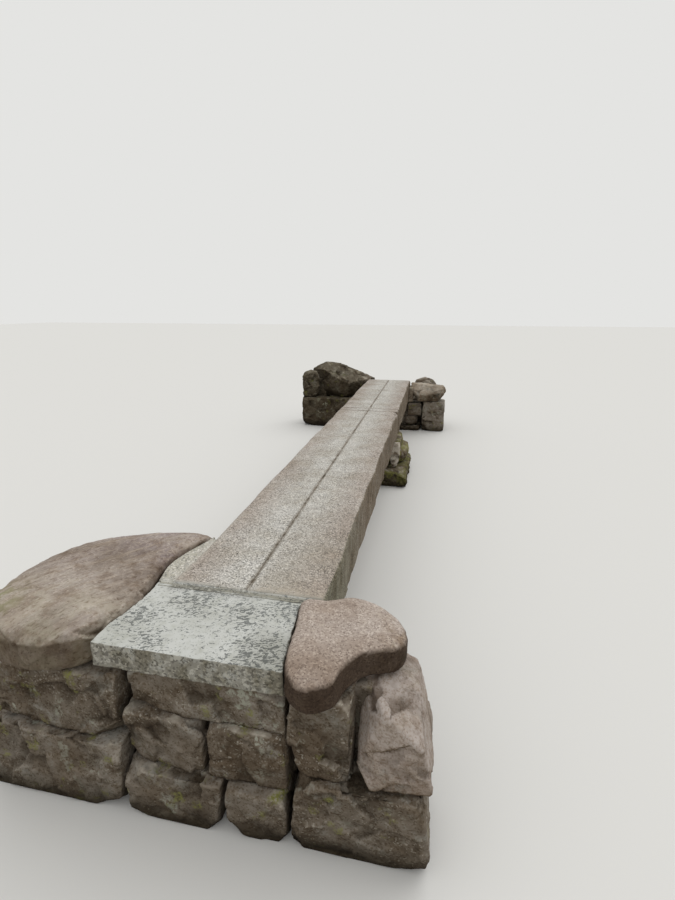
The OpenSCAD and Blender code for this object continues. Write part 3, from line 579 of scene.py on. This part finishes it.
def dressed_face(co, place, normal):
    """Height of a slab's face: nearly flat on top, split and chipped on the sides, worn along the arrises."""
    level = normal.z * normal.z
    arris = 4 * level * (1 - level)
    # The faces at the joints were dressed straight and lie close together
    outer = ramp(abs(co.x), STRAIGHT, 0.05)
    # The right side is rough and chipped beyond mid-span, and straight along the rest of its top
    rough = ramp(co.y, ROUGH_FROM, 0.4) if co.x > 0 else LEFT_ROUGHNESS
    below = min((DECK_TOP - co.z) / 0.08, 1)
    split = 0.7 * waves(Vector((place.x, place.y, place.z * 0.5)), 0.24, 4) + 0.5 * plates(place, 0.16)
    walked = 0.12 * waves(place, 0.5, 2) + 0.04 * waves(place, 0.06)
    chip = max(0, waves(place, 0.16, 4) - 0.25)
    side = outer * (0.06 + 0.2 * rough + 0.74 * below) * split + 0.15 * (1 - outer)
    return side * (1 - level) + walked * level - 1.1 * rough * outer * chip * arris


def piece(name, mesh, material, nodes=()):
    """Puts a finished mesh in the scene, in place of the CAD nodes that it stands for."""
    obj = bpy.data.objects.new(name, mesh)
    bpy.context.scene.collection.objects.link(obj)
    mesh.materials.clear()
    mesh.materials.append(bpy.data.materials[material + "_finish"])
    for polygon in mesh.polygons:
        polygon.use_smooth = True
    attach(obj, "root")
    if nodes:
        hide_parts(*nodes)


# How many times further sideways than up the relief of a stone reaches, where its outline is rough
ROUGH_OUTLINES = {"pier_base_stone": 2.6, "far_right_grey_rock": 2.4, "far_left_side_rock": 2,
                  "pier_right_stone": 1.6, "near_footing_stone": 2, "far_footing_stone": 2}


def stone_from(node, seed, step, relief, face, kept, passes=1, sunk=SUNK, proud=0, material=None):
    """A weathered stone of a CAD node's own shape, in its place."""
    low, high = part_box(node)
    mesh = modified(mesh_from(merged_copy(node)), "REMESH", mode="VOXEL", voxel_size=step)
    smoothed(mesh, passes)
    weathered(mesh, low.z, high.z + proud, seed, relief, face, sunk, ROUGH_OUTLINES.get(node, 1))
    if kept < 1:
        mesh = modified(mesh, "DECIMATE", ratio=kept)
    slot = next(row["material_slot"] for row in frame["record"]["subparts"] if row["node"] == node)
    piece(node + "_finished", mesh, material or slot, [node])


def infill(name, low, high, step, relief, face, seed, slot, material=None, passes=0):
    """Grit, mortar or a packing stone from one corner to the other, uneven where it shows."""
    bm = bmesh.new()
    bmesh.ops.create_cube(bm, size=1, matrix=Matrix.LocRotScale((low + high) / 2, None, high - low))
    mesh = modified(mesh_from(bm), "REMESH", mode="VOXEL", voxel_size=step)
    smoothed(mesh, passes)
    weathered(mesh, low.z, high.z + relief, seed, relief, face, SUNK)
    piece(name, modified(mesh, "DECIMATE", ratio=0.5), material or slot)


class BRIDGE_OT_finish(bpy.types.Operator):
    """Makes the finish of every stone"""

    bl_idname = "bridge.finish"
    bl_label = "Finish"

    def execute(self, context):
        finish = context.scene.bridge_finish
        dressed_granite(finish)
        pale_cement(finish)
        joint_grit(finish)
        pink_granite(finish)
        streaked_boulder(finish)
        bank = field_stone("brown_bank_stone", finish.bank, moss=0.4, lichen=0.7, damp=0.16)
        # The rocks left of the far end stand in the shade of trees
        bank.coat("MULTIPLY", "#C6C5BC", (bank.y, 2.0, 2.6), (bank.x, -0.45, -0.65))
        mauve = field_stone("mauve_edge_stone", finish.mauve, moss=0, lichen=0.2, damp=0.16)
        mauve.coat("MIX", "#ADA39B", (mauve.ragged(160), 0.30, 0.56), (mauve.up, -0.2, 0.3))
        mauve.coat("MULTIPLY", "#E4DFD9", (mauve.grains(7), 0.26, 0.14))
        mauve.coat("MULTIPLY", "#D9D2CB", (mauve.cloud(45, detail=8, roughness=0.75), 0.46, 0.62))
        mauve.coat("MULTIPLY", "#ABA39A", (mauve.hollow, 0, 1))
        pale = field_stone("pale_field_stone", finish.field, moss=0.1, lichen=0.9, damp=0.16)
        # The pier's wedge is a fresh pale chip
        pale.coat("MIX", "#BAB2A5", (pale.y, 1.4, 1.1), (pale.cloud(80), 0.36, 0.58))
        field_stone("mossy_pier_stone", finish.pier, moss=1.3, lichen=0.3, damp=0.3)
        return {"FINISHED"}


SLABS = ["near_left_slab", "near_right_slab", "left_closer_stone", "right_closer_stone", "far_left_slab",
         "far_right_slab"]
NEAR_STONES = ["near_bearing_stone", "near_left_block", "near_right_block", "near_footing_stone",
               "threshold_bed_stone", "threshold_middle_left_stone", "threshold_middle_right_stone",
               "threshold_footing_stone", "threshold_footing_left_stone", "left_bank_upper_stone",
               "left_bank_front_stone", "left_bank_rear_upper_stone", "left_bank_rear_stone",
               "right_bank_upper_stone", "right_bank_lower_stone"]
FAR_STONES = ["pier_cap_stone", "pier_left_stone", "pier_wedge_stone", "pier_base_stone", "far_bearing_stone",
              "far_right_squared_block", "far_left_squared_block", "far_middle_stone", "far_footing_stone",
              "far_left_guardian_rock", "far_left_side_rock", "far_left_bank_stone", "far_right_flat_stone",
              "far_right_grey_rock", "far_right_bank_stone", "far_right_back_stone"]
WORN_STONES = ["pier_right_stone", "far_right_round_stone", "far_left_round_stone"]


# Lowest and highest corner of each small stone that packs a gap between big ones
PACKING_STONES = [("far_left_packing_stone", (-1.60, 3.01, 0.60), (-1.36, 3.21, 1.00)),
                  ("far_right_packing_stone", (0.30, 2.88, 0.08), (0.50, 3.14, 0.60)),
                  ("deck_side_packing_stone", (0.44, 2.74, 0.60), (0.53, 3.08, 0.90)),
                  ("right_bank_packing_stone", (0.64, -5.26, 0.48), (0.76, -5.03, 0.87)),
                  ("far_inner_packing_stone", (-0.50, 2.85, 0.29), (-0.36, 3.07, 0.61)),
                  ("far_outer_packing_stone", (-0.79, 2.85, 0.08), (-0.67, 3.07, 0.57))]


class BRIDGE_OT_slabs(bpy.types.Operator):
    """Builds the granite slabs of the deck and the filling of their joints"""

    bl_idname = "bridge.slabs"
    bl_label = "Deck slabs"

    def execute(self, context):
        deck = context.scene.bridge_deck
        for seed, node in enumerate(SLABS):
            stone_from(node, seed, deck.mesh_step, deck.side_relief, dressed_face, kept=0.4, sunk=0,
                       proud=0.003)

        filled = DECK_TOP - deck.joint_depth
        grit = {"face": worn_face, "slot": "dressed_granite", "material": "joint_grit"}
        infill("row_joint_grit", Vector((-ROW_HALF, NEAR_END + ROW_SHORT, filled - ROW_DEPTH)),
               Vector((ROW_HALF, FAR_HIGH.y - ROW_SHORT, filled)), step=0.004, relief=0.003, seed=10, **grit)
        for side, way in (("near", -1), ("far", 1)):
            middle = Vector((0, way * CROSS_JOINT, (NEAR_LOW.z + filled) / 2))
            reach = Vector((NEAR_HIGH.x - CROSS_SHORT, CROSS_HALF, filled - middle.z))
            infill(side + "_joint_grit", middle - reach, middle + reach, step=0.006, relief=0.002, seed=11,
                   **grit)
        return {"FINISHED"}


class BRIDGE_OT_guardians(bpy.types.Operator):
    """Builds the two guardian stones at the near end and the stone beside the heart-shaped one"""

    bl_idname = "bridge.guardians"
    bl_label = "Guardian stones"

    def execute(self, context):
        stone = context.scene.bridge_stone
        stone_from("left_guardian_boulder", 20, stone.fine_step, 1.2 * stone.relief, banded_face, passes=4,
                   sunk=0, proud=0.012, kept=0.8)
        stone_from("heart_guardian_stone", 21, stone.fine_step, 0.8 * stone.relief, heart_face, passes=5,
                   sunk=0, proud=0.01, kept=0.8)
        stone_from("right_edge_stone", 22, stone.fine_step, 0.6 * stone.relief, split_face, kept=stone.kept,
                   material="mauve_edge_stone")
        return {"FINISHED"}


class BRIDGE_OT_threshold(bpy.types.Operator):
    """Builds the cement threshold and the mortar along the slabs and beside the left boulder"""

    bl_idname = "bridge.threshold"
    bl_label = "Threshold"

    def execute(self, context):
        stone_from("threshold_slab", 30, 0.006, 0.004, cast_face, sunk=0, proud=0.001, kept=0.4)
        stone_from("left_mortar_fillet", 31, 0.006, 0.005, worn_face, sunk=-0.3, proud=0.004, kept=0.6)
        fillet_low, fillet_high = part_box("left_mortar_fillet")
        start = NEAR_END - 0.05
        bottom = THRESHOLD_HIGH.z - 0.02
        beyond = fillet_high.x + 0.03
        # Lowest and highest corner of each strip of mortar, which reaches a little into what it lies against
        strips = [
            ("threshold_joint_mortar", sloped_face, (0.015 - NEAR_HIGH.x, start, bottom),
             (THRESHOLD_HIGH.x - 0.015, NEAR_END + 0.012, DECK_TOP - 0.001)),
            ("fillet_joint_mortar", worn_face, (fillet_high.x - 0.02, NEAR_END + 0.006, fillet_high.z - 0.03),
             (beyond, fillet_high.y - 0.03, fillet_high.z - 0.001)),
            ("fillet_end_mortar", sloped_face, (fillet_low.x + 0.045, start, bottom),
             (beyond, NEAR_END + 0.05, fillet_high.z + 0.002))]
        for seed, (name, face, low, high) in enumerate(strips, 32):
            infill(name, Vector(low), Vector(high), MORTAR_STEP, MORTAR_STEP, face, seed, "pale_cement")
        return {"FINISHED"}


class BRIDGE_OT_stones(bpy.types.Operator):
    """Builds the natural stones of the pier and the banks"""

    bl_idname = "bridge.stones"
    bl_label = "Stones"

    def execute(self, context):
        stone = context.scene.bridge_stone
        for seed, node in enumerate(NEAR_STONES, 40):
            stone_from(node, seed, stone.fine_step, stone.relief, split_face, kept=stone.kept)
        for seed, node in enumerate(FAR_STONES, 60):
            proud = 0.02 if "rock" in node else 0
            stone_from(node, seed, stone.plain_step, stone.relief, split_face, proud=proud, kept=stone.kept)
        for seed, node in enumerate(WORN_STONES, 80):
            stone_from(node, seed, stone.plain_step, stone.relief, worn_face, passes=2, kept=stone.kept)
        # Small stones that pack the gaps between the big ones
        for seed, (name, low, high) in enumerate(PACKING_STONES, 90):
            slot = "pale_field_stone" if "deck" in name else "brown_bank_stone"
            infill(name, Vector(low), Vector(high), stone.plain_step, stone.relief, split_face, seed, slot,
                   passes=3)
        return {"FINISHED"}


class BRIDGE_OT_stage(bpy.types.Operator):
    """Adds the floor, the light and the camera"""

    bl_idname = "bridge.stage"
    bl_label = "Stage"

    def execute(self, context):
        settings = context.scene.bridge_stage
        bm = bmesh.new()
        bmesh.ops.create_grid(bm, x_segments=1, y_segments=1, size=60)
        floor = bpy.data.objects.new("floor", mesh_from(bm))
        context.scene.collection.objects.link(floor)
        pale = bpy.data.materials.new("pale_floor")
        pale.use_nodes = True
        pale.node_tree.nodes["Principled BSDF"].inputs["Base Color"].default_value = (*settings.floor, 1)
        pale.node_tree.nodes["Principled BSDF"].inputs["Specular IOR Level"].default_value = 0
        floor.data.materials.append(pale)

        # An overcast sky is brightest overhead, and the camera sees a plain pale backdrop behind the floor
        world = bpy.data.worlds.new("overcast_sky")
        world.use_nodes = True
        context.scene.world = world
        tree = world.node_tree
        sky = tree.nodes["Background"]
        direction = add(tree, "ShaderNodeTexCoord", out="Generated")
        height = add(tree, "ShaderNodeSeparateXYZ", {"Vector": direction}, "Z")
        glow = add(tree, "ShaderNodeMapRange", {"Value": height, 1: 0, 2: 1, 3: 0.42, 4: 1.2})
        tree.links.new(glow, sky.inputs["Strength"])
        sky.inputs["Color"].default_value = (1, 1, 1, 1)
        backdrop = add(tree, "ShaderNodeBackground", {"Color": (*linear("#E4E4E2"), 1), "Strength": 1})
        seen = add(tree, "ShaderNodeLightPath", out="Is Camera Ray")
        sheet = add(tree, "ShaderNodeMixShader", {0: seen, 1: sky.outputs[0], 2: backdrop})
        tree.links.new(sheet, tree.nodes["World Output"].inputs["Surface"])

        lamp = bpy.data.lights.new("soft_key", "SUN")
        lamp.energy = 0.6
        lamp.angle = math.radians(50)
        key = bpy.data.objects.new("soft_key", lamp)
        key.rotation_euler = (math.radians(-25), math.radians(25), 0)
        context.scene.collection.objects.link(key)

        camera = bpy.data.cameras.new("camera")
        camera.lens = settings.lens
        camera.sensor_width = 36
        camera.clip_end = 300
        eye = bpy.data.objects.new("camera", camera)
        eye.location = settings.eye
        eye.rotation_euler = (math.radians(90) - settings.pitch, 0, settings.heading)
        context.scene.collection.objects.link(eye)
        context.scene.camera = eye
        context.scene.view_settings.view_transform = "Standard"
        return {"FINISHED"}


class BRIDGE_PT_panel(bpy.types.Panel):
    """Lists the bridge's pieces in the sidebar."""

    bl_label = "Slab Bridge"
    bl_idname = "BRIDGE_PT_panel"
    bl_space_type = "VIEW_3D"
    bl_region_type = "UI"
    bl_category = "Slab Bridge"

    def draw(self, context):
        for operator in OPERATORS:
            self.layout.operator(operator.bl_idname)


SETTINGS = {
    "bridge_deck": DeckSettings,
    "bridge_stone": StoneSettings,
    "bridge_finish": FinishSettings,
    "bridge_stage": StageSettings,
}
OPERATORS = [BRIDGE_OT_finish, BRIDGE_OT_slabs, BRIDGE_OT_guardians, BRIDGE_OT_threshold, BRIDGE_OT_stones,
             BRIDGE_OT_stage]


def register():
    for kind in [*SETTINGS.values(), *OPERATORS, BRIDGE_PT_panel]:
        bpy.utils.register_class(kind)
    for name, kind in SETTINGS.items():
        setattr(bpy.types.Scene, name, bpy.props.PointerProperty(type=kind))


def unregister():
    for name in SETTINGS:
        delattr(bpy.types.Scene, name)
    for kind in [BRIDGE_PT_panel, *reversed(OPERATORS), *SETTINGS.values()]:
        bpy.utils.unregister_class(kind)


def main():
    register()
    bpy.ops.bridge.finish()
    bpy.ops.bridge.slabs()
    bpy.ops.bridge.guardians()
    bpy.ops.bridge.threshold()
    bpy.ops.bridge.stones()
    bpy.ops.bridge.stage()


if __name__ == "__main__":
    main()
